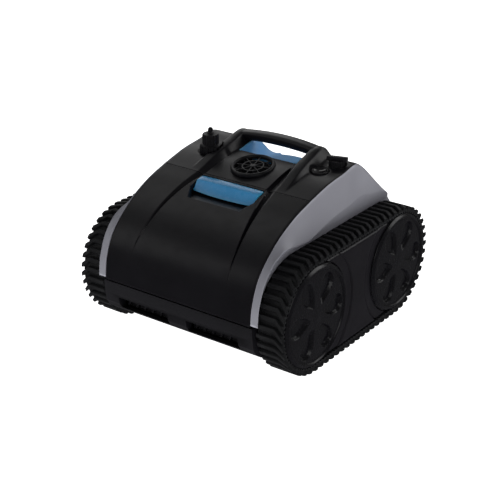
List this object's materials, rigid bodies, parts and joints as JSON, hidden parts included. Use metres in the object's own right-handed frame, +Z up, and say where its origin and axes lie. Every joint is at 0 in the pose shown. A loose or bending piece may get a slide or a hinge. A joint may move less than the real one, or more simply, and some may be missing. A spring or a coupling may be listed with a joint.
{
  "type": "robotic pool cleaner",
  "caption": "Cordless tracked pool cleaner with a curved hinged front cover, grey side panels, carry handle, outlet grille, intake mouths and rubber tracks.",
  "frame": {"origin": "on the ground under the middle of the two tracks, midway between the axles", "axes": "+Z up; -Y is the intake side with the hinged front cover; +X is the side with the power button and the charging port"},
  "size_m": [0.372, 0.4029, 0.2821],
  "materials": {
    "cover_black": "satin gloss moulded",
    "base_black": "fine texture",
    "panel_grey": "satin",
    "blue": "satin",
    "rubber": "moulded rubber",
    "wheel_black": "semi gloss",
    "frame_dark": "satin",
    "steel": "ground",
    "inner_grey": "moulded",
    "board_green": "coated board"
  },
  "bodies": {
    "hull": {"chassis_base": "base_black", "top_cover": "cover_black", "handle_liner": "blue", "cover_hinge_pin": "steel", "outlet_grille": "base_black", "outlet_duct": "inner_grey", "pump_motor": "inner_grey", "battery_box": "inner_grey", "battery_box_lid": "inner_grey", "box_gasket": "rubber", "battery_pack": "blue", "control_board": "board_green", "filter_basket": "inner_grey", "charge_port": "inner_grey", "button_bezel": "base_black", "button_switch": "inner_grey", "swivel_nut": "base_black", "left_side_panel": "panel_grey", "left_track_belt": "rubber", "left_track_frame": "frame_dark", "left_front_axle": "steel", "left_axle_block": "inner_grey", "left_drive_motor": "inner_grey", "left_front_bush": "inner_grey", "left_rear_bush": "inner_grey", "right_side_panel": "panel_grey", "right_track_belt": "rubber", "right_track_frame": "frame_dark", "right_front_axle": "steel", "right_axle_block": "inner_grey", "right_drive_motor": "inner_grey", "right_front_bush": "inner_grey", "right_rear_bush": "inner_grey"},
    "front_cover": {"front_cover": "cover_black", "latch_pin": "steel"},
    "latch": {"latch": "blue"},
    "impeller": {"impeller": "inner_grey"},
    "power_button": {"power_button": "wheel_black"},
    "charge_cap": {"charge_cap": "base_black"},
    "swivel_stem": {"swivel_stem": "base_black"},
    "left_inlet_flap": {"left_inlet_flap": "base_black"},
    "left_front_wheel": {"left_front_wheel": "wheel_black", "left_front_hubcap": "wheel_black"},
    "left_rear_wheel": {"left_rear_wheel": "wheel_black", "left_rear_hubcap": "wheel_black", "left_drive_shaft": "steel"},
    "right_inlet_flap": {"right_inlet_flap": "base_black"},
    "right_front_wheel": {"right_front_wheel": "wheel_black", "right_front_hubcap": "wheel_black"},
    "right_rear_wheel": {"right_rear_wheel": "wheel_black", "right_rear_hubcap": "wheel_black", "right_drive_shaft": "steel"}
  },
  "joints": [
    {"name": "left_rear_wheel_spin", "type": "hinge", "parent": "hull", "child": "left_rear_wheel", "pos_m": [-0.16, 0.1125, 0.0875], "axis": [1, 0, 0], "continuous": true},
    {"name": "left_front_wheel_spin", "type": "hinge", "parent": "hull", "child": "left_front_wheel", "pos_m": [-0.16, -0.1125, 0.0875], "axis": [1, 0, 0], "continuous": true},
    {"name": "right_rear_wheel_spin", "type": "hinge", "parent": "hull", "child": "right_rear_wheel", "pos_m": [0.16, 0.1125, 0.0875], "axis": [1, 0, 0], "continuous": true},
    {"name": "right_front_wheel_spin", "type": "hinge", "parent": "hull", "child": "right_front_wheel", "pos_m": [0.16, -0.1125, 0.0875], "axis": [1, 0, 0], "continuous": true},
    {"name": "front_cover_hinge", "type": "hinge", "parent": "hull", "child": "front_cover", "pos_m": [0, -0.199, 0.095], "axis": [1, 0, 0], "range_deg": [0, 75]},
    {"name": "latch_pivot", "type": "hinge", "parent": "front_cover", "child": "latch", "pos_m": [0, -0.0664, 0.22563], "axis": [-1, 0, 0], "range_deg": [0, 28], "stiffness_Nm_per_rad": 0.06, "springref_deg": -5.73},
    {"name": "power_button_press", "type": "slide", "parent": "hull", "child": "power_button", "axis": [0, 0, -1], "range_m": [0, 0.0015], "stiffness_N_per_m": 600, "springref_m": -0.0008},
    {"name": "charge_cap_turn", "type": "hinge", "parent": "hull", "child": "charge_cap", "pos_m": [0.11, 0.0475, 0.24758], "axis": [0, 0, 1], "range_deg": [0, 90]},
    {"name": "tether_swivel", "type": "hinge", "parent": "hull", "child": "swivel_stem", "pos_m": [-0.09, 0, 0.24055], "axis": [0, 0, 1], "continuous": true},
    {"name": "impeller_spin", "type": "hinge", "parent": "hull", "child": "impeller", "pos_m": [0, -0.013, 0.2421], "axis": [0, -0.1461, 0.9893], "continuous": true},
    {"name": "left_inlet_flap_hinge", "type": "hinge", "parent": "hull", "child": "left_inlet_flap", "pos_m": [-0.0635, -0.182, 0.0678], "axis": [1, 0, 0], "range_deg": [0, 60]},
    {"name": "right_inlet_flap_hinge", "type": "hinge", "parent": "hull", "child": "right_inlet_flap", "pos_m": [0.0635, -0.182, 0.0678], "axis": [1, 0, 0], "range_deg": [0, 60]}
  ],
  "couplings": [
    {"joint": "left_front_wheel_spin", "follows": "left_rear_wheel_spin", "ratio": 1},
    {"joint": "right_front_wheel_spin", "follows": "right_rear_wheel_spin", "ratio": 1}
  ]
}
